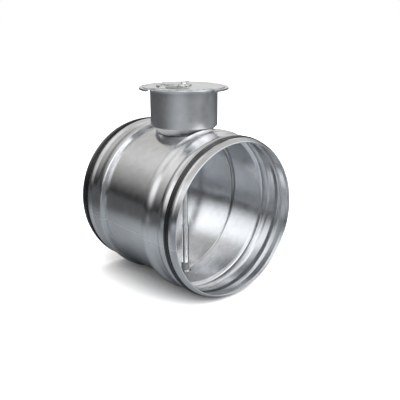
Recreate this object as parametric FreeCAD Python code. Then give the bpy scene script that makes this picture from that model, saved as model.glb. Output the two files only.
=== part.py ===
"""Manual volume control damper for round duct, with an insulation-depth neck and a locking handle.

The duct runs along X and the blade's shaft along Z. The origin is at the middle of the duct's length,
under the lowest points of the two stop beads, so the duct's axis is at z = bead_radius. Millimetres.
Every profile is drawn around the duct's axis first, and the finished pieces are lifted to that height.
"""
import FreeCAD, Part
import math
import os

V = FreeCAD.Vector
X_AXIS = V(1, 0, 0)
Z_AXIS = V(0, 0, 1)
ORIGIN = V(0, 0, 0)

# Duct that the damper fits, and the sheet metal
duct_radius = 100.0          # inside of the round duct that slides over each spigot and its seal
casing_sheet = 0.8
blade_sheet = 1.0
cup_sheet = 1.0
plate_sheet = 1.0
handle_sheet = 1.5
fine_bend = 3.0              # corners tighter than this are drawn as two chords

# Casing
half_length = 98.0           # shaft to the mouth
bead_from_mouth = 54.5       # mouth to the steep end of the stop bead's crest
bead_rise = 2.0              # crest above the duct's inside, so the duct stops here
bead_crest = 7.0             # crest between its two bends
bead_back_run = 1.5          # steep flank of the bead, towards the blade
bead_back_bend = 1.2
bead_stop_run = 7.0          # flank that the duct stops against
bead_stop_bend = 14.0
bead_foot_rise = 0.6         # end of that flank above the spigot
bead_sweep = 14.0            # wide bend where it runs out into the spigot
tube_clearance = 3.0         # duct's inside to the middle tube
spigot_clearance = 1.4       # duct's inside to the spigot between bead and ridge
ridge_from_mouth = 22.5      # mouth to the crest of the ridge that backs the seal
ridge_back_run = 6.0         # slope of the ridge towards the bead
ridge_seal_run = 8.0         # slope of the ridge towards the seal
ridge_bend = 7.0
ridge_peak = 0.5             # meeting point of the ridge's two slopes above its rounded crest
ridge_clearance = 0.3        # duct's inside to the ridge's crest
groove_clearance = 3.2       # duct's inside to the floor that the seal stands on
lead_in_length = 6.0         # taper of the mouth that guides the duct on
lead_in_angle = 32.0
lead_in_bend = 8.0
nose_clearance = 1.5         # duct's inside to the folded edge where the taper starts
tail_clearance = 1.7         # duct's inside to the folded edge beside the seal
fold_length = 9.2            # how far the mouth's edge is folded back over the seal's foot
fold_gap = 0.3               # opening between the folded layers of the taper
fold_bend = 0.5              # bends of the sheet's middle at the mouth

# Lip seals
seal_land = 2.6              # length of the main lip that grips the duct
seal_back = 1.3              # how far the main lip leans back over the ridge
seal_lip_height = 0.7        # main lip's back edge
seal_stem = 1.4              # stem under the main lip
seal_step = 0.5              # slopes beside the valley between the lips
seal_valley = 1.0            # depth between the two lips
second_lip_drop = 0.6        # second lip under the main one
second_lip_width = 1.2
seal_toe = 0.5               # thickness of the foot's end under the fold
seal_toe_length = 1.6

# Flat seat pressed into the crown for the neck
seat_depth = 5.2             # crown to the seat's flat
seat_margin = 2.0            # seat beyond the neck's base
rivet_circle_radius = 22.0   # circle of the neck's rivets

# Shaft, bushes and blade
shaft_radius = 4.0
running_gap = 0.05           # radial, shaft in its bushes
fit_gap = 0.05               # radial, fixed pieces in their holes
bush_wall = 1.5
bush_reach = 9.9             # bush inside the duct, from the tube's inner wall
bush_flange = 9.0            # radius of the bush's flange
bush_flange_height = 2.0
clip_reach = 2.5             # bush clip beyond the bush
clip_height = 1.0
blade_gap = 1.6              # blade's rim to the tube
blade_angle = 4.8            # opening of the blade as it rests
blade_top_gap = 1.9          # blade's upper flat under the seat
blade_bush_gap = 1.5         # blade to the ends and clips of the bushes
channel_half = 32.0          # half the length of the middle channel
lance_width = 1.2            # cut between two opposed channels
channel_bend = 1.2           # bend where a channel leaves the flat blade
blade_rivet_place = 20.0     # blade rivets above and under the duct's axis
blade_rivet_radius = 1.6
blade_rivet_depth = 3.0      # rivet into the shaft
shaft_foot_gap = 0.3         # shaft's lower end above the bottom of its bush
bush_floor = 2.2             # closed end of the lower bush

# Neck ("cup") that carries the handle above the insulation
neck_top = 149.2             # flange's top above the duct's axis
neck_radius = 42.0
neck_base_radius = 32.0
neck_chamfer = 10.0          # height of the tapered foot
flange_radius = 55.5
flange_fold = 3.5            # width of the edge folded under the flange
flange_fold_gap = 0.3
neck_bend = 2.0
notch_width = 8.0            # four open notches in the flange
notch_root = 46.0            # radius where a notch ends
gasket_height = 0.8
gasket_margin = 1.0          # gasket inside the neck's base
gasket_hole = 11.0

# Rivets
rivet_radius = 1.6
rivet_head_radius = 3.2
rivet_head_height = 0.9
rivet_tail_radius = 2.5
rivet_tail_height = 1.2

# Scale plate and handle
plate_radius = 51.0
plate_notch_margin = 1.5     # plate kept clear of the flange's notches
plate_rivet_circle_radius = 48.3
guide_wall = 1.8             # plastic guide round the shaft in the scale plate
guide_flange = 8.5
guide_flange_height = 1.4
handle_gap = 0.3             # handle over the scale plate
handle_hub = 9.5
handle_reach = 34.0          # radius of the fan
pointer_length = 7.0         # pointer beyond the fan
handle_fan_angle = 57.0      # half angle of the fan
handle_waist = 4.5           # half width of the pointer at the fan
slot_inset = 8.0             # fan's edge to the centre line of the arc slot
slot_travel_angle = 45.0     # slot to each side of the lock screw at mid travel
slot_margin_angle = 3.0      # extra slot beyond the blade's travel
slot_clearance = 0.4
finger_hole_margin = 0.87    # two holes beside the hub to the fan's straight edges
finger_hole_wall = 2.1       # those holes to the slot
finger_hole_angle = 38.0
tenon_half = 2.75            # half the distance between the shaft end's flats
shaft_screw_radius = 2.0
shaft_screw_depth = 12.0
shaft_screw_head = 4.0
shaft_screw_head_height = 1.8
shaft_washer_radius = 5.5
shaft_washer_height = 0.6
lock_direction = -45.0       # degrees from +X, halfway between closed and open
lock_screw_radius = 2.5
lock_screw_head = 4.8
lock_screw_head_height = 1.8
lock_screw_grip = 9.5        # threaded length under the head
lock_washer_radius = 6.2
lock_washer_height = 0.6
lock_nut_radius = 5.0
lock_nut_height = 4.0
lock_gap = 0.3               # washer over the handle, with the screw slackened
recess_depth = 1.1           # drive recess in each screw head
recess_radius = 1.6
recess_half = 0.35           # half the width of the recess

# Shaft's own clip and seal ring
shaft_clip_radius = 7.5
shaft_clip_height = 0.8
shaft_clip_gap = 0.3
shaft_groove = 0.8
ring_section = 1.9           # seal ring round the shaft
ring_pocket_gap = 0.1

# Sizes that follow from the ones above
bead_place = half_length - bead_from_mouth
ridge_place = half_length - ridge_from_mouth
groove_place = ridge_place + ridge_seal_run
bead_radius = duct_radius + bead_rise
tube_radius = duct_radius - tube_clearance
tube_inside = tube_radius - casing_sheet
spigot_radius = duct_radius - spigot_clearance
ridge_radius = duct_radius - ridge_clearance
groove_radius = duct_radius - groove_clearance
blade_radius = tube_inside - blade_gap
seat_top = tube_radius - seat_depth
seat_under = seat_top - casing_sheet
seat_radius = neck_base_radius + seat_margin
base_under = seat_top + gasket_height
base_top = base_under + cup_sheet
plate_top = neck_top + plate_sheet
gasket_radius = neck_base_radius - gasket_margin
handle_under = plate_top + handle_gap
handle_top = handle_under + handle_sheet
bush_radius = shaft_radius + bush_wall
bush_hole = bush_radius + fit_gap
bush_end = tube_inside - bush_reach
clip_radius = bush_radius + clip_reach
channel_inside = shaft_radius + fit_gap
channel_outside = channel_inside + blade_sheet
shaft_foot = -(tube_radius + bush_flange_height - bush_floor - shaft_foot_gap)
guide_radius = shaft_radius + guide_wall
upper_bush_top = base_top + bush_flange_height
shaft_clip_under = upper_bush_top + shaft_clip_gap
pointer_radius = handle_reach + pointer_length
slot_radius = handle_reach - slot_inset
slot_half = lock_screw_radius + slot_clearance
finger_edge_sine = math.sin(math.radians(handle_fan_angle - finger_hole_angle))
finger_room = slot_radius - slot_half - finger_hole_wall + finger_hole_margin
finger_circle_radius = finger_room / (1 + finger_edge_sine)
finger_hole_radius = finger_circle_radius * finger_edge_sine - finger_hole_margin
screw_hole = lock_screw_radius + slot_clearance


# Shape helpers

def box(x0, x1, y0, y1, z0, z1):
    return Part.makeBox(x1 - x0, y1 - y0, z1 - z0, V(x0, y0, z0))


def disc(radius, z0, z1, x=0.0, y=0.0):
    return Part.makeCylinder(radius, z1 - z0, V(x, y, z0))


def ring(outer, inner, z0, z1, x=0.0, y=0.0):
    return disc(outer, z0, z1, x, y).cut(disc(inner, z0 - 1, z1 + 1, x, y))


def along_duct(radius, x0, x1):
    return Part.makeCylinder(radius, x1 - x0, V(x0, 0, 0), X_AXIS)


def polar(radius, degrees):
    angle = math.radians(degrees)
    return radius * math.cos(angle), radius * math.sin(angle)


def turned(shape, degrees):
    copy = shape.copy()
    copy.rotate(ORIGIN, Z_AXIS, degrees)
    return copy


def four_ways(shape, first=0.0):
    return [turned(shape, first + 90.0 * i) for i in range(4)]


def outline(points):
    """Wire through (a, b, corner radius) points in the XZ plane; the tightest corners are two chords."""
    places = [V(a, 0, b) for a, b, _ in points]
    radii = [r for _, _, r in points]
    count = len(points)
    starts = []
    ends = []
    middles = []
    for i in range(count):
        here = places[i]
        if radii[i] <= 0:
            starts.append(here)
            ends.append(here)
            middles.append(None)
            continue
        back = (places[i - 1] - here).normalize()
        ahead = (places[(i + 1) % count] - here).normalize()
        half = back.getAngle(ahead) / 2
        run = radii[i] / math.tan(half)
        inward = (back + ahead).normalize()
        centre = here + inward * (radii[i] / math.sin(half))
        starts.append(here + back * run)
        ends.append(here + ahead * run)
        middles.append(centre - inward * radii[i])
    edges = []
    for i in range(count):
        if radii[i] >= fine_bend:
            edges.append(Part.Arc(starts[i], middles[i], ends[i]).toShape())
        elif radii[i] > 0:
            edges.append(Part.LineSegment(starts[i], middles[i]).toShape())
            edges.append(Part.LineSegment(middles[i], ends[i]).toShape())
        nearest = starts[(i + 1) % count]
        if ends[i].distanceToPoint(nearest) > 1e-6:
            edges.append(Part.LineSegment(ends[i], nearest).toShape())
    return Part.Wire(edges)


def sheet_outline(path, thickness):
    """Closed points of a formed sheet, offset half its thickness to each side of a centre line."""
    half = thickness / 2
    sides = [[], []]
    last = len(path) - 1
    for i, (a, b, radius) in enumerate(path):
        if i > 0:
            before = V(a - path[i - 1][0], 0, b - path[i - 1][1]).normalize()
        if i < last:
            after = V(path[i + 1][0] - a, 0, path[i + 1][1] - b).normalize()
        if i == 0:
            before = after
        if i == last:
            after = before
        turn = before.x * after.z - before.z * after.x
        normal = V(-before.z - after.z, 0, before.x + after.x).normalize()
        reach = half / (normal.x * -before.z + normal.z * before.x)
        for side, sign in ((0, 1), (1, -1)):
            bend = radius - sign * half if turn > 0 else radius + sign * half
            corner = max(bend, 0.0) if radius > 0 else 0.0
            sides[side].append((a + sign * reach * normal.x, b + sign * reach * normal.z, corner))
    return sides[0] + sides[1][::-1]


def spun(points, axis):
    return Part.Face(outline(points)).revolve(ORIGIN, axis, 360)


def drilled(shape, radius, z0, z1, places):
    return shape.cut([disc(radius, z0, z1, x, y) for x, y in places])


def one_solid(shape):
    return shape.removeSplitter().Solids[0]


# Casing: one tube with rolled stop beads, seal ridges and folded mouths

def casing_path():
    """Centre line of the sheet from the middle of the duct to the folded edge, as (x, radius, bend)."""
    half = casing_sheet / 2
    tube = tube_radius - half
    crest = bead_radius - half
    spigot = spigot_radius - half
    ridge = ridge_radius - half
    crest_front = bead_place + bead_crest
    return [
        (bead_place - bead_back_run, tube, 0),
        (bead_place, crest, bead_back_bend),
        (crest_front, crest, bead_stop_bend),
        (crest_front + bead_stop_run, spigot + bead_foot_rise, bead_sweep),
        (ridge_place - ridge_back_run, spigot, 0),
        (ridge_place, ridge + ridge_peak, ridge_bend),
        (groove_place, groove_radius - half, 0),
    ] + mouth_path()


def mouth_path():
    """Rest of the centre line: down the taper, back over itself at the mouth and up to the seal."""
    half = casing_sheet / 2
    nose_place = half_length - lead_in_length
    nose = duct_radius - nose_clearance - half
    tail = duct_radius - tail_clearance - half
    floor = groove_radius - half
    sine = math.sin(math.radians(lead_in_angle))
    cosine = math.cos(math.radians(lead_in_angle))
    mouth = half_length - half + fold_bend * (sine + cosine - 1)
    rim = nose - (mouth - nose_place) * sine / cosine
    layers = casing_sheet + fold_gap
    inner_mouth = mouth - layers * sine
    inner_rim = rim - layers * cosine
    floor_end = inner_mouth - (floor - inner_rim) * cosine / sine
    return [
        (floor_end, floor, lead_in_bend - layers),
        (inner_mouth, inner_rim, fold_bend),
        (mouth, rim, fold_bend),
        (nose_place, nose, lead_in_bend),
        (half_length - fold_length, tail, 0),
    ]


def seat_cutter(flat_z, radius):
    """Cone that opens upwards at 45 degrees from the seat's flat."""
    rise = tube_radius
    return Part.makeCone(radius, radius + rise, rise, V(0, 0, flat_z))


def make_casing():
    front = casing_path()
    rear = [(-x, r, bend) for x, r, bend in front][::-1]
    body = spun(sheet_outline(rear + front, casing_sheet), X_AXIS)
    reach = seat_radius + seat_depth + 2
    lid_region = box(-reach, reach, -reach, reach, seat_under - 1, tube_radius + 1)
    slope_shift = casing_sheet * math.tan(math.radians(22.5))
    upper = seat_cutter(seat_top, seat_radius)
    lower = seat_cutter(seat_under, seat_radius + slope_shift)
    pressed = lower.cut(upper).common(lid_region).common(along_duct(tube_radius, -reach, reach))
    body = body.cut(upper).fuse(pressed)
    lower_hole = disc(bush_hole, -duct_radius, -bush_end)
    upper_hole = disc(bush_hole, bush_end, duct_radius)
    body = body.cut([lower_hole, upper_hole])
    places = [polar(rivet_circle_radius, 45 + 90 * i) for i in range(4)]
    return one_solid(drilled(body, rivet_radius + fit_gap, seat_under - 1, seat_top + 1, places))


def make_seal(sign):
    """Double-lip seal, its foot held under the folded mouth."""
    back = groove_place + casing_sheet
    fold_end = half_length - fold_length
    foot_end = fold_end + seal_toe_length
    foot = groove_radius + fit_gap
    body_end = fold_end - 2 * fit_gap
    land_start = back - seal_back
    land_end = land_start + seal_land
    lip = duct_radius - second_lip_drop
    lip_end = fold_end - seal_step
    points = [
        (back, foot, 0),
        (foot_end, foot, 0),
        (foot_end, foot + seal_toe, 0),
        (body_end, foot + seal_toe, 0),
        (body_end, duct_radius - nose_clearance, 0),
        (lip_end, lip, 0),
        (lip_end - second_lip_width, lip, 0),
        (land_end + seal_step, duct_radius - seal_valley, 0),
        (land_end, duct_radius, 0),
        (land_start, duct_radius, 0),
        (land_start, duct_radius - seal_lip_height, 0),
        (back, groove_radius + seal_stem, 0),
    ]
    if sign < 0:
        points = [(-x, r, bend) for x, r, bend in points][::-1]
    return spun(points, X_AXIS)


# Blade: one disc with three channels lanced and pressed to alternate sides, so that they hold the shaft

def blade_strip(side, z0, z1):
    """Length of the blade whose channel bulges to the front (side +1) or the back (side -1)."""
    half = blade_sheet / 2
    wide = blade_radius + blade_sheet
    flat = box(-half, half, -wide, wide, z0, z1)
    bulge = disc(channel_outside, z0, z1).common(box(0, wide, -wide, wide, z0, z1))
    strip = flat.fuse(bulge).cut(disc(channel_inside, z0, z1))
    strip = strip.cut(box(-wide, 0, -channel_inside, channel_inside, z0, z1)).removeSplitter()
    feet = [edge for edge in strip.Edges if is_channel_foot(edge, half)]
    return turned(strip.makeFillet(channel_bend, feet), 0 if side > 0 else 180)


def is_channel_foot(edge, half):
    """Long edge where the channel's outside leaves the front of the flat blade."""
    if abs(edge.tangentAt(edge.FirstParameter).z) < 0.99:
        return False
    at = edge.valueAt(edge.FirstParameter)
    return abs(at.x - half) < 0.01 and abs(at.y) < channel_outside + 0.01


def make_blade():
    top = seat_under - blade_top_gap
    notch = clip_radius + blade_bush_gap
    end = bush_end - blade_bush_gap
    wide = blade_radius + blade_sheet
    strips = [
        blade_strip(1, -wide, -channel_half),
        blade_strip(-1, -channel_half, channel_half),
        blade_strip(1, channel_half, wide),
    ]
    sheet = strips[0].fuse(strips[1:])
    lance = channel_outside + channel_bend
    cuts = [
        box(-wide, wide, -wide, wide, top, wide),
        box(-wide, wide, -notch, notch, end, wide),
        box(-wide, wide, -notch, notch, -wide, -end),
    ]
    for z in (-channel_half, channel_half):
        cuts.append(box(-wide, wide, -lance, lance, z - lance_width / 2, z + lance_width / 2))
    for z in (-blade_rivet_place, blade_rivet_place):
        cuts.append(Part.makeCylinder(blade_rivet_radius + fit_gap, wide, V(0, 0, z), V(-1, 0, 0)))
    sheet = sheet.common(along_duct(blade_radius, -wide, wide)).cut(cuts)
    return one_solid(sheet)


def make_blade_rivets():
    """Rivets from the back of the middle channel into the shaft."""
    rivets = []
    for z in (-blade_rivet_place, blade_rivet_place):
        end = -shaft_radius + blade_rivet_depth
        shank = Part.makeCylinder(blade_rivet_radius, channel_outside + end, V(end, 0, z), V(-1, 0, 0))
        seat = V(-channel_outside, 0, z)
        head = Part.makeCone(rivet_head_radius, rivet_tail_radius, rivet_head_height, seat, V(-1, 0, 0))
        rivets.append(shank.fuse(head).removeSplitter())
    return Part.makeCompound(rivets)


def make_shaft():
    bar = disc(shaft_radius, shaft_foot, handle_under)
    tenon = shaft_tenon(shaft_radius, tenon_half, handle_under, handle_top)
    groove_top = shaft_clip_under + shaft_clip_height
    groove = ring(shaft_radius + 1, shaft_radius - shaft_groove, shaft_clip_under, groove_top)
    bore = disc(shaft_screw_radius + fit_gap, handle_top - shaft_screw_depth, handle_top + 1)
    cuts = [groove, bore]
    for z in (-blade_rivet_place, blade_rivet_place):
        start = V(-shaft_radius + blade_rivet_depth, 0, z)
        cuts.append(Part.makeCylinder(blade_rivet_radius + fit_gap, shaft_radius, start, V(-1, 0, 0)))
    return one_solid(bar.fuse(tenon).cut(cuts))


# Bushes, clips and seal ring

def make_upper_bush():
    body = disc(bush_radius, bush_end, base_top)
    flange = disc(bush_flange, base_top, upper_bush_top)
    bush = body.fuse(flange).cut(disc(shaft_radius + running_gap, bush_end - 1, upper_bush_top + 1))
    pocket_radius = shaft_radius + running_gap + ring_section + ring_pocket_gap
    pocket = disc(pocket_radius, upper_bush_top - ring_section, upper_bush_top + 1)
    return one_solid(bush.cut(pocket))


def make_lower_bush():
    """Closed bush; its flange is curved to the tube."""
    under = -(tube_radius + bush_flange_height)
    tube = along_duct(tube_radius, -bush_flange - 1, bush_flange + 1)
    flange = disc(bush_flange, under, -tube_inside).cut(tube)
    body = disc(bush_radius, under, -bush_end)
    pocket = disc(shaft_radius + running_gap, under + bush_floor, -bush_end + 1)
    return one_solid(body.fuse(flange).cut(pocket))


def make_bush_clip(low):
    return ring(clip_radius, bush_radius + fit_gap, low, low + clip_height)


def clip_sag():
    """How far the tube's inner wall falls away at the edge of a flat clip."""
    return tube_inside - math.sqrt(tube_inside ** 2 - clip_radius ** 2)


def make_shaft_clip():
    """Open spring clip in the shaft's groove, over the upper bush."""
    low = shaft_clip_under
    inner = shaft_radius - shaft_groove
    clip = ring(shaft_clip_radius, inner, low, low + shaft_clip_height)
    mouth = box(0, shaft_clip_radius + 1, -inner * 0.9, inner * 0.9, low - 1, low + shaft_clip_height + 1)
    return one_solid(clip.cut(mouth))


def make_shaft_seal_ring():
    inner = shaft_radius + running_gap
    return ring(inner + ring_section, inner, upper_bush_top - ring_section, upper_bush_top)


# Neck

def neck_path():
    half = cup_sheet / 2
    top = neck_top - half
    fold = top - cup_sheet - flange_fold_gap
    edge = flange_radius - half
    taper_end = base_under + neck_chamfer
    return [
        (bush_hole, base_under + half, 0),
        (neck_base_radius - half, base_under + half, 0),
        (neck_radius - half, taper_end, 0),
        (neck_radius - half, top, neck_bend),
        (edge, top, 0),
        (edge, fold, 0),
        (edge - flange_fold, fold, 0),
    ]


def notch_cutter(width, root, z0, z1):
    """Round-ended slot from the root radius out past the rim, along +X."""
    half = width / 2
    end = disc(half, z0, z1, root + half, 0)
    return end.fuse(box(root + half, flange_radius + width, -half, half, z0, z1))


def make_cup():
    cup = spun(sheet_outline(neck_path(), cup_sheet), Z_AXIS)
    low = neck_top - 3 * cup_sheet - flange_fold_gap
    cup = cup.cut(four_ways(notch_cutter(notch_width, notch_root, low, neck_top + 1)))
    places = [polar(rivet_circle_radius, 45 + 90 * i) for i in range(4)]
    cup = drilled(cup, rivet_radius + fit_gap, base_under - 1, base_top + 1, places)
    places = [polar(plate_rivet_circle_radius, 45 + 90 * i) for i in range(4)]
    return one_solid(drilled(cup, rivet_radius + fit_gap, low, neck_top + 1, places))


def make_gasket():
    places = [polar(rivet_circle_radius, 45 + 90 * i) for i in range(4)]
    gasket = ring(gasket_radius, gasket_hole, seat_top, base_under)
    return one_solid(drilled(gasket, rivet_radius + fit_gap, seat_top - 1, base_under + 1, places))


def blind_rivet(head_z, tail_z, head_side):
    """Rivet on the Z axis from its head to its tail; head_side is -1 when the head points down."""
    low, high = min(head_z, tail_z), max(head_z, tail_z)
    shank = disc(rivet_radius, low, high)
    head = Part.makeCone(rivet_head_radius, rivet_tail_radius, rivet_head_height,
                         V(0, 0, head_z), V(0, 0, head_side))
    tail = Part.makeCylinder(rivet_tail_radius, rivet_tail_height, V(0, 0, tail_z), V(0, 0, -head_side))
    return shank.fuse([head, tail]).removeSplitter()


def placed(shape, places):
    copies = []
    for x, y in places:
        copy = shape.copy()
        copy.translate(V(x, y, 0))
        copies.append(copy)
    return Part.makeCompound(copies)


def make_cup_rivets():
    places = [polar(rivet_circle_radius, 45 + 90 * i) for i in range(4)]
    return placed(blind_rivet(seat_under, base_top, -1), places)


# Scale plate, handle and lock

def lock_place():
    return polar(slot_radius, lock_direction)


def make_scale_plate():
    plate = disc(plate_radius, neck_top, plate_top)
    clear = notch_width + 2 * plate_notch_margin
    root = notch_root - plate_notch_margin
    x, y = lock_place()
    cuts = four_ways(notch_cutter(clear, root, neck_top - 1, plate_top + 1))
    cuts.append(disc(guide_radius + fit_gap, neck_top - 1, plate_top + 1))
    cuts.append(disc(screw_hole, neck_top - 1, plate_top + 1, x, y))
    places = [polar(plate_rivet_circle_radius, 45 + 90 * i) for i in range(4)]
    return one_solid(drilled(plate.cut(cuts), rivet_radius + fit_gap, neck_top - 1, plate_top + 1, places))


def make_plate_rivets():
    places = [polar(plate_rivet_circle_radius, 45 + 90 * i) for i in range(4)]
    return placed(blind_rivet(plate_top, neck_top - cup_sheet, 1), places)


def make_shaft_guide():
    body = disc(guide_radius, neck_top, plate_top)
    flange = disc(guide_flange, neck_top - guide_flange_height, neck_top)
    hole = disc(shaft_radius + running_gap, neck_top - guide_flange_height - 1, plate_top + 1)
    return one_solid(body.fuse(flange).cut(hole))


def sector(radius, half_angle, z0, z1):
    """Slice of a disc about +X."""
    piece = Part.makeCylinder(radius, z1 - z0, V(0, 0, z0), Z_AXIS, 2 * half_angle)
    return turned(piece, -half_angle)


def make_handle():
    """Fan with a pointer and an arc slot, drawn along +X and turned to the blade's own angle."""
    z0, z1 = handle_under, handle_top
    low, high = z0 - 1, z1 + 1
    tip_root = handle_reach - handle_waist / 2
    tip = [
        V(tip_root, -handle_waist, z0),
        V(pointer_radius, 0, z0),
        V(tip_root, handle_waist, z0),
        V(tip_root, -handle_waist, z0),
    ]
    pointer = Part.Face(Part.makePolygon(tip)).extrude(V(0, 0, z1 - z0))
    body = sector(handle_reach, handle_fan_angle, z0, z1).fuse([disc(handle_hub, z0, z1), pointer])
    reach = slot_travel_angle + slot_margin_angle
    slot = sector(slot_radius + slot_half, reach, low, high).cut(disc(slot_radius - slot_half, low, high))
    cuts = [slot]
    for side in (-1, 1):
        cuts.append(disc(slot_half, low, high, *polar(slot_radius, side * reach)))
        x, y = polar(finger_circle_radius, side * finger_hole_angle)
        cuts.append(disc(finger_hole_radius, low, high, x, y))
    cuts.append(turned(shaft_tenon(shaft_radius + fit_gap, tenon_half + fit_gap, low, high), 90))
    return one_solid(turned(body.cut(cuts), blade_angle - 90))


def shaft_tenon(radius, half, z0, z1):
    """Round bar with two flats, as the shaft's end and its hole in the handle."""
    return disc(radius, z0, z1).common(box(-half, half, -radius, radius, z0, z1))


def pan_screw(shank_radius, head_radius, head_height, under_head, grip):
    """Screw on the Z axis with a cross recess; its head sits on under_head."""
    top = under_head + head_height
    head = Part.makeCone(head_radius, head_radius * 0.8, head_height, V(0, 0, under_head))
    shank = disc(shank_radius, under_head - grip, under_head)
    bar = box(-recess_radius, recess_radius, -recess_half, recess_half, top - recess_depth, top + 1)
    return one_solid(head.fuse(shank).cut([bar, turned(bar, 90)]))


def make_handle_washer():
    top = handle_top + shaft_washer_height
    return ring(shaft_washer_radius, shaft_screw_radius + 2 * fit_gap, handle_top, top)


def make_handle_screw():
    under = handle_top + shaft_washer_height
    grip = shaft_screw_depth - 1
    return pan_screw(shaft_screw_radius, shaft_screw_head, shaft_screw_head_height, under, grip)


def make_lock_screw():
    under = handle_top + lock_gap + lock_washer_height
    screw = pan_screw(lock_screw_radius, lock_screw_head, lock_screw_head_height, under, lock_screw_grip)
    screw.translate(V(*lock_place(), 0))
    return screw


def make_lock_washer():
    x, y = lock_place()
    low = handle_top + lock_gap
    return ring(lock_washer_radius, lock_screw_radius + fit_gap, low, low + lock_washer_height, x, y)


def make_lock_nut():
    x, y = lock_place()
    low = neck_top - lock_nut_height
    return ring(lock_nut_radius, lock_screw_radius + running_gap, low, neck_top, x, y)


def main():
    os.makedirs("parts", exist_ok=True)
    pieces = {
        "casing": make_casing(),
        "front_seal": make_seal(1),
        "rear_seal": make_seal(-1),
        "blade": turned(make_blade(), blade_angle),
        "shaft": turned(make_shaft(), blade_angle),
        "blade_rivets": turned(make_blade_rivets(), blade_angle),
        "upper_bush": make_upper_bush(),
        "lower_bush": make_lower_bush(),
        "upper_bush_clip": make_bush_clip(seat_under - clip_height),
        "lower_bush_clip": make_bush_clip(-tube_inside + clip_sag()),
        "shaft_clip": turned(make_shaft_clip(), blade_angle),
        "shaft_seal_ring": make_shaft_seal_ring(),
        "cup": make_cup(),
        "cup_gasket": make_gasket(),
        "cup_rivets": make_cup_rivets(),
        "scale_plate": make_scale_plate(),
        "plate_rivets": make_plate_rivets(),
        "shaft_guide": make_shaft_guide(),
        "handle": make_handle(),
        "handle_washer": make_handle_washer(),
        "handle_screw": turned(make_handle_screw(), blade_angle),
        "lock_screw": make_lock_screw(),
        "lock_washer": make_lock_washer(),
        "lock_nut": make_lock_nut(),
    }
    for name, shape in pieces.items():
        shape.translate(V(0, 0, bead_radius))
        shape.exportStep("parts/" + name + ".step")
        print(name, len(shape.Solids), shape.isValid(), round(shape.Volume, 1))


if __name__ == "__main__":
    main()
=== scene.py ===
"""Looks of a manual volume control damper for round duct.

Galvanised sheet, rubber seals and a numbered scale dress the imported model, which is the fixed frame.
Metres, duct along X, shaft along Z, floor at 0.
"""
import math

import bmesh
import bpy
from bpy.props import FloatProperty, FloatVectorProperty, PointerProperty
from mathutils import Matrix, Vector


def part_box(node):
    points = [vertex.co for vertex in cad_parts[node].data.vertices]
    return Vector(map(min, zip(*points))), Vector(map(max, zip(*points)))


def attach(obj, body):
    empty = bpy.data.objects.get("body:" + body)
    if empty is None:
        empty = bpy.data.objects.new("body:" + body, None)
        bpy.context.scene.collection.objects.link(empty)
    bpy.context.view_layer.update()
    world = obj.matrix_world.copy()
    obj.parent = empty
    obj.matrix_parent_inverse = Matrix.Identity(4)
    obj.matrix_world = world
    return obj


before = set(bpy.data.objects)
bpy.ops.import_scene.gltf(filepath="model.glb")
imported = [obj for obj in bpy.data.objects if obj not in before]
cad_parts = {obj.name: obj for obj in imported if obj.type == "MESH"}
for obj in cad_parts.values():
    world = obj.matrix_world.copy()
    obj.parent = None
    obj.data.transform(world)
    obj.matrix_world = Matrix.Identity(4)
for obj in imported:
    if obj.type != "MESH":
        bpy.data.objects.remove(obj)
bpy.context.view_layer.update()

bl_info = {
    "name": "Volume control damper",
    "version": (1, 0, 0),
    "blender": (4, 5, 0),
    "location": "View3D > Sidebar > Damper",
    "description": "Dresses the packed damper in galvanised sheet, rubber and print, and lights it",
    "category": "Object",
}

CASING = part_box("casing")
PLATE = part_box("scale_plate")

# Places on the object

DUCT_AXIS = CASING[1].z / 2         # the tube stands on the floor
PLATE_TOP = PLATE[1].z
BLADE_RADIUS = 0.0946
RIM_SHADOW_BAND = 0.0023                   # painted shadow along the blade's rim, the shade of the gap to the tube
RIM_FADE = 0.001                    # width over which the band sets in
RIM_FOOT = 0.05                     # height below which the rim stays bright
RIM_FULL = 0.08                     # height above which the band is at its darkest
SEAM_HEIGHT = DUCT_AXIS - 0.013     # welded seam of the tube, a little under the duct's axis
SEAM_CORE = 0.0003                  # half width at which the seam starts to fade
SEAM_EDGE = 0.0014                  # half width at which it ends
SEAM_WANDER = 0.0012                # how far it strays up and down
SEAM_SIDE = -0.08                   # the seam is on the left of the duct, past this
SEAM_SIDE_FADE = 0.01

# Print of the scale, in degrees from +X

SCALE_START = -90                   # where 0 stands
SCALE_END = 0                       # where 90 stands
MARK_STEP = 5
LONG_MARK = 0.0034                  # at every second step, where the numbers are
SHORT_MARK = 0.0018
LONG_MARK_HALF = 0.00028            # half width
SHORT_MARK_HALF = 0.00016
NUMBER_STEP = 10
NUMBER_OFFSET = 0.0052              # from the marks' inner ends to the middle of the numbers
END_SHIFT = 9                       # the first and the last number stand clear of the flange's notches

# The room, as metal shows it

SKY = 0.62                          # even light from above
SKY_FADE = 0.6                      # it fades out below this, as a share of straight up
SKY_TINT = (1.02, 1.0, 0.97)
SOFTBOXES = (                       # degrees from +X, above the floor and of half width, then the strength
    (-42, 30, 20, 1.45),
    (8, 21, 22, 1.45),
    (50, 28, 25, 0.6),
    (-98, 29, 17, 0.65),
    (-150, 54, 20, 0.35),
    (138, 15, 17, 0.55),
)
SOFTBOX_TINT = (0.98, 1.0, 1.02)

# The floor, which is white to the eye and grey with pale cards in metal

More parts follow.
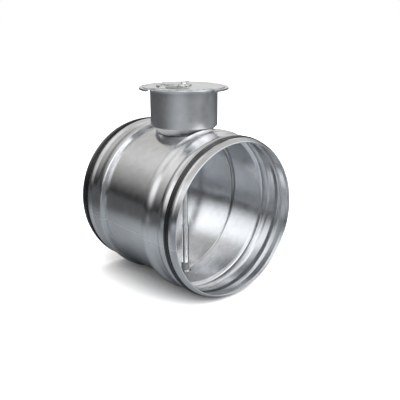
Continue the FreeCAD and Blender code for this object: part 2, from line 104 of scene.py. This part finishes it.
FLOOR_REACH = 30                    # half its width
FLOOR_WHITE = 2.6                   # so bright that it meets the backdrop without an edge
FLOOR_GREY = 0.07                   # away from the cards
FLOOR_CARDS = (                     # x, y, half width, strength
    (0.27, 0.09, 0.17, 1.05),
    (0.8, -1.2, 0.7, 0.8),
    (-0.05, -0.22, 0.19, 0.5),
    (0.4, 0.8, 0.4, 0.4),
    (-0.33, 0.12, 0.15, 1.0),
)
FLOOR_BRIGHTEST = 1.3               # above every card's brightness
FLOOR_TINT = (0.93, 1.0, 1.07)
WHITE_IN_METAL = 0.02               # share of the white paper that metal shows
SHADOW_REACH = 0.3                  # how far off the object still shades a spot of the floor
SHADOW_LIGHT = (0.85, 0.15, 0.6)    # the floor's light comes from the front, so the shadow lies to the rear
SHADOW_EDGE = 1.5                   # the shadow ends where the floor sees two thirds of the room
SHADOW_DEPTH = 1.7                  # how steeply it darkens towards the object
SHADOW_DEPTH_IN_METAL = 2.0

# The camera, at the photograph's angle

CAMERA_RIGHT = (0.6585, 0.7526, 0.0)
CAMERA_BACK = (0.7168, -0.6272, 0.3051)
CAMERA_DISTANCE = 0.7606
CAMERA_SHIFT = 0.01994              # to the right
CAMERA_LIFT = 0.00194
SENSOR_WIDTH = 36.0                 # millimetres, as is the lens
LENS = 52.17

BLACK = (0.0, 0.0, 0.0, 1.0)
MIDDLE = 0.5                        # of a noise, which goes from 0 to 1
TROUGH = 0.3                        # most of a noise lies between these two
CREST = 0.7


# Shader maths

class Wire:
    """One socket of a shader. Arithmetic on it adds Math nodes."""

    def __init__(self, shader, socket):
        self.shader = shader
        self.socket = socket

    def maths(self, operation, first, second):
        return self.shader.node("ShaderNodeMath", {"operation": operation}, {0: first, 1: second})

    def __add__(self, other):
        return self.maths("ADD", self, other)

    def __sub__(self, other):
        return self.maths("SUBTRACT", self, other)

    def __rsub__(self, other):
        return self.maths("SUBTRACT", other, self)

    def __mul__(self, other):
        return self.maths("MULTIPLY", self, other)

    def __pow__(self, other):
        return self.maths("POWER", self, other)

    def __rpow__(self, other):
        return self.maths("POWER", other, self)

    def __abs__(self):
        return self.maths("ABSOLUTE", self, 0.0)

    def capped(self, top):
        return self.maths("MINIMUM", self, top)

    __radd__ = __add__
    __rmul__ = __mul__


class Shader:
    """Node tree of a material or of the world."""

    # The colour sockets of a Mix node share their names with others, so they are found by number
    MIX_LOW = 6
    MIX_HIGH = 7
    MIX_RESULT = 2

    def __init__(self, tree):
        self.tree = tree
        self.tree.nodes.clear()

    def node(self, kind, settings=None, inputs=None, output=0):
        """Adds a node, sets its settings and then its sockets, and gives one of its outputs."""
        made = self.tree.nodes.new(kind)
        for name, value in (settings or {}).items():
            setattr(made, name, value)
        for name, value in (inputs or {}).items():
            if isinstance(value, Wire):
                self.tree.links.new(value.socket, made.inputs[name])
            else:
                made.inputs[name].default_value = value
        return Wire(self, made.outputs[output]) if made.outputs else None

    def mix(self, mask, low, high):
        """Colour between two others."""
        inputs = {0: mask, self.MIX_LOW: low, self.MIX_HIGH: high}
        return self.node("ShaderNodeMix", {"data_type": "RGBA"}, inputs, self.MIX_RESULT)

    def blend(self, mask, low, high):
        """Surface between two others."""
        return self.node("ShaderNodeMixShader", {}, {0: mask, 1: low, 2: high})

    def vectors(self, operation, first, second, output="Vector"):
        return self.node("ShaderNodeVectorMath", {"operation": operation}, {0: first, 1: second}, output)

    def scaled(self, vector, factor):
        return self.node("ShaderNodeVectorMath", {"operation": "SCALE"}, {0: vector, "Scale": factor})

    def part(self, vector, letter):
        """X, Y or Z of a vector."""
        return self.node("ShaderNodeSeparateXYZ", {}, {0: vector}, letter)

    def between(self, value, low, high, new_low=0.0, new_high=1.0):
        """Value taken from low..high to new_low..new_high with soft ends."""
        settings = {"interpolation_type": "SMOOTHSTEP", "clamp": True}
        inputs = {"Value": value, "From Min": low, "From Max": high, "To Min": new_low, "To Max": new_high}
        return self.node("ShaderNodeMapRange", settings, inputs)

    def place(self, stretch=(1, 1, 1)):
        """Point in the piece's own space, in metres."""
        return self.vectors("MULTIPLY", self.node("ShaderNodeTexCoord", output="Object"), stretch)

    def noise(self, at, scale, detail=3.0, output="Fac"):
        return self.node("ShaderNodeTexNoise", {}, {"Vector": at, "Scale": scale, "Detail": detail}, output)

    def cells(self, at, size):
        """A tone for each crystal of this size."""
        tint = self.node("ShaderNodeTexVoronoi", {}, {"Vector": at, "Scale": 1 / size}, "Color")
        return self.node("ShaderNodeSeparateColor", {}, {"Color": tint}, "Red")

    def bump(self, height, distance, strength):
        inputs = {"Height": height, "Distance": distance, "Strength": strength}
        return self.node("ShaderNodeBump", {}, inputs)


def colour(rgb, factor=1.0):
    """A colour made lighter or darker by a factor, with full alpha."""
    return tuple(min(1.0, c * factor) for c in rgb[:3]) + (1.0,)


def start(name):
    material = bpy.data.materials.new(name)
    material.use_nodes = True
    return material, Shader(material.node_tree)


def finish(shader, inputs):
    surface = shader.node("ShaderNodeBsdfPrincipled", {}, inputs)
    shader.node("ShaderNodeOutputMaterial", {}, {"Surface": surface})


# Finishes

def galvanised(name, tint, spangle, roughness, grain, seam=False, rim=False):
    """Zinc-coated sheet: faint crystals as large as spangle, cloudy patches and fine rolling lines, and
    where asked a welded seam and a painted shadow along the blade's rim.
    """
    dark = colour(tint, 0.88)
    light = colour(tint, 1.08)
    crystal_tone = 0.4 * grain
    cloud_tone = 0.5
    cloud_relief = 0.5
    fine_relief = 0.03
    sway_reach = 0.006              # how far the crystals' outlines bend
    rolling = (900, 60, 60)         # rolling lines run round the duct, close together
    swing = 0.04                    # of the roughness
    material, shader = start(name)
    at = shader.place()
    sway = shader.noise(at, scale=90.0, detail=2.0, output="Color")
    bent = shader.vectors("ADD", at, shader.scaled(sway, sway_reach))
    crystals = shader.cells(bent, spangle)
    clouds = shader.noise(at, scale=14.0)
    lines = shader.noise(shader.place(rolling), scale=1.0, detail=2.0)
    tone = (crystals - MIDDLE) * crystal_tone + (clouds - MIDDLE) * cloud_tone + MIDDLE
    base = shader.mix(shader.between(tone, 0.0, 1.0), dark, light)
    rough = shader.between(tone, 0.0, 1.0, roughness - swing, roughness + swing) + (lines - MIDDLE) * swing
    height = clouds * cloud_relief + crystals * fine_relief + lines * fine_relief
    if seam:
        weld, burr = weld_seam(shader, at)
        weld_light = colour(tint, 1.25)
        weld_roughness = 0.12
        base = shader.mix(weld, base, weld_light)
        rough = rough + weld * weld_roughness
        height = height + burr
    # painted shadow: the blade's rim is darkened and roughened where it stands in the gap to the tube
    if rim:
        rim_shade_mask = painted_rim_shadow(shader, at)
        rim_shade_colour = colour(tint, 0.3)
        rim_shade_roughness = 0.2
        base = shader.mix(rim_shade_mask, base, rim_shade_colour)
        rough = rough + rim_shade_mask * rim_shade_roughness
    finish(shader, {"Base Color": base, "Roughness": rough, "Metallic": 1.0,
                    "Normal": shader.bump(height, distance=0.0006, strength=0.25)})
    return material


def painted_rim_shadow(shader, at):
    """Mask of the painted shadow on the blade's last two millimetres, the shade of the gap where it stands
    by the tube, but not at its foot.
    """
    darkest = 0.85
    out = shader.vectors("DISTANCE", at, (0, 0, DUCT_AXIS), "Value")
    band = BLADE_RADIUS - RIM_SHADOW_BAND
    above = shader.between(shader.part(at, "Z"), RIM_FOOT, RIM_FULL, 0.0, darkest)
    return shader.between(out, band, band + RIM_FADE) * above


def weld_seam(shader, at):
    """Mask and height of the rolled tube's welded seam, a ragged line along the duct on the left side."""
    strength = 0.7
    left = shader.between(shader.part(at, "Y"), SEAM_SIDE, SEAM_SIDE + SEAM_SIDE_FADE, 1.0, 0.0)
    wander = (shader.noise(at, scale=55.0) - MIDDLE) * SEAM_WANDER
    off = abs(shader.part(at, "Z") - SEAM_HEIGHT + wander)
    weld = shader.between(off, SEAM_CORE, SEAM_EDGE, 1.0, 0.0) * left
    return weld * strength, weld * shader.noise(at, scale=500.0)


def rubber(name, tint):
    """Moulded rubber with a dusty bloom."""
    clean_roughness = 0.25
    dust_roughness = 0.15           # added by the dust
    dust_light = 1.9
    dust_starts = 0.45
    dust_covers = 0.75
    material, shader = start(name)
    at = shader.place()
    dust = shader.between(shader.noise(at, scale=60.0, detail=5.0), dust_starts, dust_covers)
    base = shader.mix(dust, colour(tint), colour(tint, dust_light))
    grain = shader.noise(at, scale=1800.0, detail=2.0)
    finish(shader, {"Base Color": base, "Roughness": dust * dust_roughness + clean_roughness,
                    "Coat Weight": 0.5, "Coat Roughness": 0.15,
                    "Normal": shader.bump(grain, distance=0.0001, strength=0.3)})
    return material


def plated(name, tint, roughness, scratch, mottle=0.11):
    """Plated or bright steel of turned and stamped pieces, with marks of turning and faint patches."""
    turning = (250, 250, 3000)      # the marks run round Z, close together
    deepest = 0.0001
    material, shader = start(name)
    patches = shader.noise(shader.place(), scale=160.0, detail=4.0)
    turned = shader.noise(shader.place(turning), scale=1.0, detail=2.0)
    tone = shader.between(patches, TROUGH, CREST)
    base = shader.mix(tone, colour(tint, 1 - mottle), colour(tint, 1 + mottle))
    rough = shader.between(patches, TROUGH, CREST, roughness - mottle / 2, roughness + mottle / 2)
    finish(shader, {"Base Color": base, "Roughness": rough, "Metallic": 1.0,
                    "Normal": shader.bump(turned, distance=deepest * scratch, strength=0.3)})
    return material


def moulded(name, tint):
    """Moulded plastic with a fine texture."""
    smooth = 0.38
    swing = 0.15                    # of the roughness
    material, shader = start(name)
    at = shader.place()
    tone = shader.noise(at, scale=120.0)
    base = shader.mix(shader.between(tone, TROUGH, CREST), colour(tint, 0.9), colour(tint, 1.1))
    grain = shader.noise(at, scale=2500.0, detail=2.0)
    finish(shader, {"Base Color": base, "Roughness": tone * swing + smooth,
                    "Normal": shader.bump(grain, distance=0.00008, strength=0.4)})
    return material


def printed(name, tint):
    """Screen-printed ink, a little worn."""
    worn_light = 1.6
    worn_below = 0.35
    whole_above = 0.6
    material, shader = start(name)
    wear = shader.noise(shader.place(), scale=900.0, detail=4.0)
    base = shader.mix(shader.between(wear, worn_below, whole_above), colour(tint, worn_light), colour(tint))
    finish(shader, {"Base Color": base, "Roughness": 0.45})
    return material


# Settings that a user would change

class DamperSizes(bpy.types.PropertyGroup):
    spangle: FloatProperty(
        name="Spangle", description="Size of the zinc crystals", default=0.007, min=0.001, unit="LENGTH")
    numeral_height: FloatProperty(
        name="Numeral height", description="Height of the scale's numbers", default=0.0032, unit="LENGTH")
    print_thickness: FloatProperty(
        name="Print thickness", description="Ink over the scale plate", default=0.00008, unit="LENGTH")
    scale_radius: FloatProperty(
        name="Scale radius", description="Inner end of the scale's marks", default=0.0423, unit="LENGTH")


class DamperColours(bpy.types.PropertyGroup):
    sheet: FloatVectorProperty(
        name="Galvanised sheet", description="Zinc coat of the casing, blade and neck",
        subtype="COLOR", size=3, default=(0.76, 0.77, 0.785), min=0, max=1)
    plate: FloatVectorProperty(
        name="Bright steel", description="Scale plate and shaft",
        subtype="COLOR", size=3, default=(0.86, 0.86, 0.855), min=0, max=1)
    rubber: FloatVectorProperty(
        name="Rubber", description="Seals and gasket", subtype="COLOR", size=3,
        default=(0.011, 0.011, 0.012), min=0, max=1)
    plating: FloatVectorProperty(
        name="Plated steel", description="Handle, screws, rivets and clips", subtype="COLOR", size=3,
        default=(0.72, 0.72, 0.73), min=0, max=1)
    bush: FloatVectorProperty(
        name="Bushes", description="Plastic of the bushes and the guide", subtype="COLOR", size=3,
        default=(0.34, 0.36, 0.36), min=0, max=1)
    ink: FloatVectorProperty(
        name="Ink", description="Print of the scale", subtype="COLOR", size=3,
        default=(0.28, 0.28, 0.29), min=0, max=1)
    background: FloatProperty(
        name="Background", description="Brightness of the floor and backdrop", default=1.0, min=0, max=1)


def sizes():
    return bpy.context.scene.damper_sizes


def colours():
    return bpy.context.scene.damper_colours


# Mesh helpers

def dress(names, material):
    """Gives CAD nodes a finish in every one of their material slots."""
    for name in names:
        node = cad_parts[name]
        for slot in node.material_slots:
            slot.material = material


def add_piece(name, mesh, body, material):
    """Adds a piece to the scene, on the body that carries it."""
    piece = bpy.data.objects.new(name, mesh)
    bpy.context.scene.collection.objects.link(piece)
    mesh.materials.append(material)
    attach(piece, body)


# Operators, one for each piece or group of like pieces

class DAMPER_OT_sheet(bpy.types.Operator):
    """Galvanised finish of the casing, the blade and the neck"""
    bl_idname = "damper.sheet"
    bl_label = "Galvanised sheet"

    def execute(self, context):
        tint = colours().sheet
        # painted light: the neck's sheet is 13 % lighter than the casing's, to brighten it
        neck_tint_painted_lighter = colour(tint, 1.13)
        spangle = sizes().spangle
        neck_spangle = spangle * 0.8
        casing = galvanised("casing_zinc", tint, spangle, roughness=0.21, grain=0.6, seam=True)
        # the blade gets a painted shadow along its rim
        blade = galvanised("blade_zinc", tint, spangle, roughness=0.17, grain=0.6, rim=True)
        neck = galvanised("neck_zinc", neck_tint_painted_lighter, neck_spangle, roughness=0.33, grain=0.5)
        dress(["casing"], casing)
        dress(["blade"], blade)
        dress(["cup"], neck)
        return {"FINISHED"}


class DAMPER_OT_rubber(bpy.types.Operator):
    """Rubber of the two lip seals, the neck's gasket and the shaft's ring"""
    bl_idname = "damper.rubber"
    bl_label = "Rubber seals"

    def execute(self, context):
        dress(["front_seal", "rear_seal"], rubber("seal_rubber", colours().rubber))
        dress(["cup_gasket", "shaft_seal_ring"], rubber("gasket_rubber", colours().rubber))
        return {"FINISHED"}


class DAMPER_OT_fittings(bpy.types.Operator):
    """Shaft, bushes, clips, rivets, handle and screws"""
    bl_idname = "damper.fittings"
    bl_label = "Shaft and fittings"

    def execute(self, context):
        bright = colours().plate
        tint = colours().plating
        dress(["shaft"], plated("shaft_steel", bright, roughness=0.42, scratch=1.0))
        dress(["handle"], plated("handle_zinc", tint, roughness=0.34, scratch=0.3, mottle=0.05))
        dress(["handle_screw", "handle_washer", "lock_screw", "lock_washer", "lock_nut"],
              plated("screw_zinc", tint, roughness=0.3, scratch=1.0))
        dress(["blade_rivets", "cup_rivets", "plate_rivets"],
              plated("rivet_steel", tint, roughness=0.35, scratch=0.6))
        dress(["upper_bush_clip", "lower_bush_clip", "shaft_clip"],
              plated("clip_steel", tint, roughness=0.28, scratch=0.6))
        dress(["upper_bush", "lower_bush", "shaft_guide"], moulded("bush_plastic", colours().bush))
        return {"FINISHED"}


class DAMPER_OT_scale(bpy.types.Operator):
    """Scale plate with its marks and numbers from 0 to 90"""
    bl_idname = "damper.scale"
    bl_label = "Numbered scale"

    def execute(self, context):
        dress(["scale_plate"],
              plated("scale_sheet", colours().plate, roughness=0.3, scratch=0.2, mottle=0.03))
        ink = printed("scale_ink", colours().ink)
        thick = sizes().print_thickness
        inner = sizes().scale_radius
        mesh = bpy.data.meshes.new("scale_marks")
        shape = bmesh.new()
        for step, degrees in enumerate(range(SCALE_START, SCALE_END + 1, MARK_STEP)):
            long = step % 2 == 0
            reach = LONG_MARK if long else SHORT_MARK
            half = LONG_MARK_HALF if long else SHORT_MARK_HALF
            add_mark(shape, inner, inner + reach, half, math.radians(degrees), thick)
        shape.to_mesh(mesh)
        shape.free()
        add_piece("scale_marks", mesh, "damper_body", ink)
        for degrees in range(SCALE_START, SCALE_END + 1, NUMBER_STEP):
            inward = {SCALE_START: END_SHIFT, SCALE_END: -END_SHIFT}.get(degrees, 0)
            text = str(degrees - SCALE_START)
            add_number(text, inner + NUMBER_OFFSET, math.radians(degrees + inward), thick, ink)
        return {"FINISHED"}


def add_mark(shape, inner, outer, half, angle, thick):
    """One printed bar of the scale, from radius inner to outer."""
    turn = Matrix.Rotation(angle, 4, "Z")
    middle = Matrix.Translation(Vector(((inner + outer) / 2, 0, PLATE_TOP + thick / 2)))
    size = Matrix.Diagonal(Vector((outer - inner, 2 * half, thick, 1)))
    bmesh.ops.create_cube(shape, size=1.0, matrix=turn @ middle @ size)


def add_number(text, radius, angle, thick, material):
    """One printed number, read from outside the scale."""
    letters = bpy.data.curves.new("number_" + text, "FONT")
    letters.body = text
    letters.size = sizes().numeral_height
    letters.align_x = "CENTER"
    letters.align_y = "CENTER"
    letters.extrude = thick / 2
    letters.resolution_u = 3
    holder = bpy.data.objects.new("number_holder", letters)
    bpy.context.scene.collection.objects.link(holder)
    solid = holder.evaluated_get(bpy.context.evaluated_depsgraph_get())
    mesh = bpy.data.meshes.new_from_object(solid)
    bpy.data.objects.remove(holder)
    spot = Vector((radius * math.cos(angle), radius * math.sin(angle), PLATE_TOP + thick / 2))
    mesh.transform(Matrix.Translation(spot) @ Matrix.Rotation(angle + math.pi / 2, 4, "Z"))
    mesh.name = "number_" + text
    mesh.materials.clear()
    add_piece("number_" + text, mesh, "damper_body", material)


class DAMPER_OT_stage(bpy.types.Operator):
    """Floor, soft studio light and the camera"""
    bl_idname = "damper.stage"
    bl_label = "Stage"

    def execute(self, context):
        make_floor()
        make_world()
        make_camera()
        return {"FINISHED"}


def to_the_eye(shader):
    """1 for what the camera sees directly, and 0 for what lights the object or shows in it."""
    return shader.node("ShaderNodeLightPath", output="Is Camera Ray")


def in_metal(shader):
    """1 for what shows in metal or in a gloss."""
    return shader.node("ShaderNodeLightPath", output="Is Glossy Ray")


def paper(shader, tint, share):
    """Matt paper of one colour, darkened to a share of it."""
    dark = shader.node("ShaderNodeBsdfDiffuse", {}, {"Color": BLACK})
    bright = shader.node("ShaderNodeBsdfDiffuse", {}, {"Color": tint})
    return shader.blend(share, dark, bright)


def make_floor():
    """White paper to the eye. In metal it is grey with pale cards, as in the photograph's darker room."""
    corners = [(-FLOOR_REACH, -FLOOR_REACH, 0), (FLOOR_REACH, -FLOOR_REACH, 0),
               (FLOOR_REACH, FLOOR_REACH, 0), (-FLOOR_REACH, FLOOR_REACH, 0)]
    mesh = bpy.data.meshes.new("floor")
    mesh.from_pydata(corners, [], [(0, 1, 2, 3)])
    floor = bpy.data.objects.new("floor", mesh)
    bpy.context.scene.collection.objects.link(floor)
    material, shader = start("floor_paper")
    at = shader.place()
    brightness = FLOOR_GREY
    for x, y, half, strength in FLOOR_CARDS:
        apart = shader.vectors("DISTANCE", at, (x, y, 0), "Value")
        brightness = shader.between(apart, 0.0, 2 * half, strength, 0.0) + brightness
    shade = floor_shade(shader)
    level = FLOOR_WHITE * colours().background
    pale = tuple(FLOOR_BRIGHTEST * c for c in FLOOR_TINT) + (1.0,)
    grey = paper(shader, pale, brightness * shade ** SHADOW_DEPTH_IN_METAL * (1 / FLOOR_BRIGHTEST))
    white = paper(shader, (level, level, level, 1.0), shade ** SHADOW_DEPTH)
    whiteness = to_the_eye(shader) + in_metal(shader) * WHITE_IN_METAL
    seen = shader.blend(whiteness, grey, white)
    shader.node("ShaderNodeOutputMaterial", {}, {"Surface": seen})
    mesh.materials.append(material)


def floor_shade(shader):
    """Soft shadow of the object on the floor, 1 where there is none."""
    x, y, z = SHADOW_LIGHT
    way = shader.node("ShaderNodeCombineXYZ", {}, {"X": x, "Y": y, "Z": z})
    inputs = {"Distance": SHADOW_REACH, "Normal": way}
    open_room = shader.node("ShaderNodeAmbientOcclusion", {"samples": 16}, inputs, "AO")
    return (open_room * SHADOW_EDGE).capped(1.0)


def make_world():
    """Soft room: even light from above and a few round softboxes, white to the eye."""
    world = bpy.data.worlds.new("studio")
    world.use_nodes = True
    bpy.context.scene.world = world
    shader = Shader(world.node_tree)
    way = shader.node("ShaderNodeTexCoord", output="Generated")
    sky = shader.scaled(SKY_TINT, shader.between(shader.part(way, "Z"), 0.0, SKY_FADE, 0.0, SKY))
    glow = 0.0
    for azimuth, rise, half, strength in SOFTBOXES:
        facing = shader.vectors("DOT_PRODUCT", way, direction(azimuth, rise), "Value")
        rim = 2 * math.cos(math.radians(half)) - 1      # puts half the strength at the half width
        glow = shader.between(facing, rim, 1.0, 0.0, strength) + glow
    room = shader.vectors("ADD", sky, shader.scaled(SOFTBOX_TINT, glow))
    level = colours().background
    shown = shader.mix(to_the_eye(shader), room, (level, level, level, 1.0))
    back = shader.node("ShaderNodeBackground", {}, {"Color": shown, "Strength": 1.0})
    shader.node("ShaderNodeOutputWorld", {}, {"Surface": back})


def direction(azimuth, rise):
    """Unit vector that points this many degrees from +X and this many above the floor."""
    turn = math.radians(azimuth)
    lift = math.radians(rise)
    return (math.cos(lift) * math.cos(turn), math.cos(lift) * math.sin(turn), math.sin(lift))


def make_camera():
    """Camera a little above the duct, to the right of its open mouth."""
    right = Vector(CAMERA_RIGHT)
    back = Vector(CAMERA_BACK)
    up = back.cross(right)
    data = bpy.data.cameras.new("camera")
    data.sensor_width = SENSOR_WIDTH
    data.lens = LENS
    camera = bpy.data.objects.new("camera", data)
    centre = Vector((0, 0, DUCT_AXIS))
    place = centre + back * CAMERA_DISTANCE + right * CAMERA_SHIFT + up * CAMERA_LIFT
    turn = Matrix((right, up, back)).transposed().to_4x4()
    camera.matrix_world = Matrix.Translation(place) @ turn
    bpy.context.scene.collection.objects.link(camera)
    bpy.context.scene.camera = camera
    bpy.context.scene.view_settings.view_transform = "Standard"


class DAMPER_PT_panel(bpy.types.Panel):
    """Steps that dress the damper"""
    bl_idname = "DAMPER_PT_panel"
    bl_label = "Damper"
    bl_space_type = "VIEW_3D"
    bl_region_type = "UI"
    bl_category = "Damper"

    def draw(self, context):
        for group in (context.scene.damper_sizes, context.scene.damper_colours):
            for name in group.__annotations__:
                self.layout.prop(group, name)
        for operator in OPERATORS:
            self.layout.operator(operator.bl_idname)


OPERATORS = (DAMPER_OT_sheet, DAMPER_OT_rubber, DAMPER_OT_fittings, DAMPER_OT_scale, DAMPER_OT_stage)
CLASSES = (DamperSizes, DamperColours) + OPERATORS + (DAMPER_PT_panel,)


def register():
    for cls in CLASSES:
        bpy.utils.register_class(cls)
    bpy.types.Scene.damper_sizes = PointerProperty(type=DamperSizes)
    bpy.types.Scene.damper_colours = PointerProperty(type=DamperColours)


def unregister():
    del bpy.types.Scene.damper_sizes
    del bpy.types.Scene.damper_colours
    for cls in reversed(CLASSES):
        bpy.utils.unregister_class(cls)


def main():
    register()
    bpy.ops.damper.sheet()
    bpy.ops.damper.rubber()
    bpy.ops.damper.fittings()
    bpy.ops.damper.scale()
    bpy.ops.damper.stage()


if __name__ == "__main__":
    main()
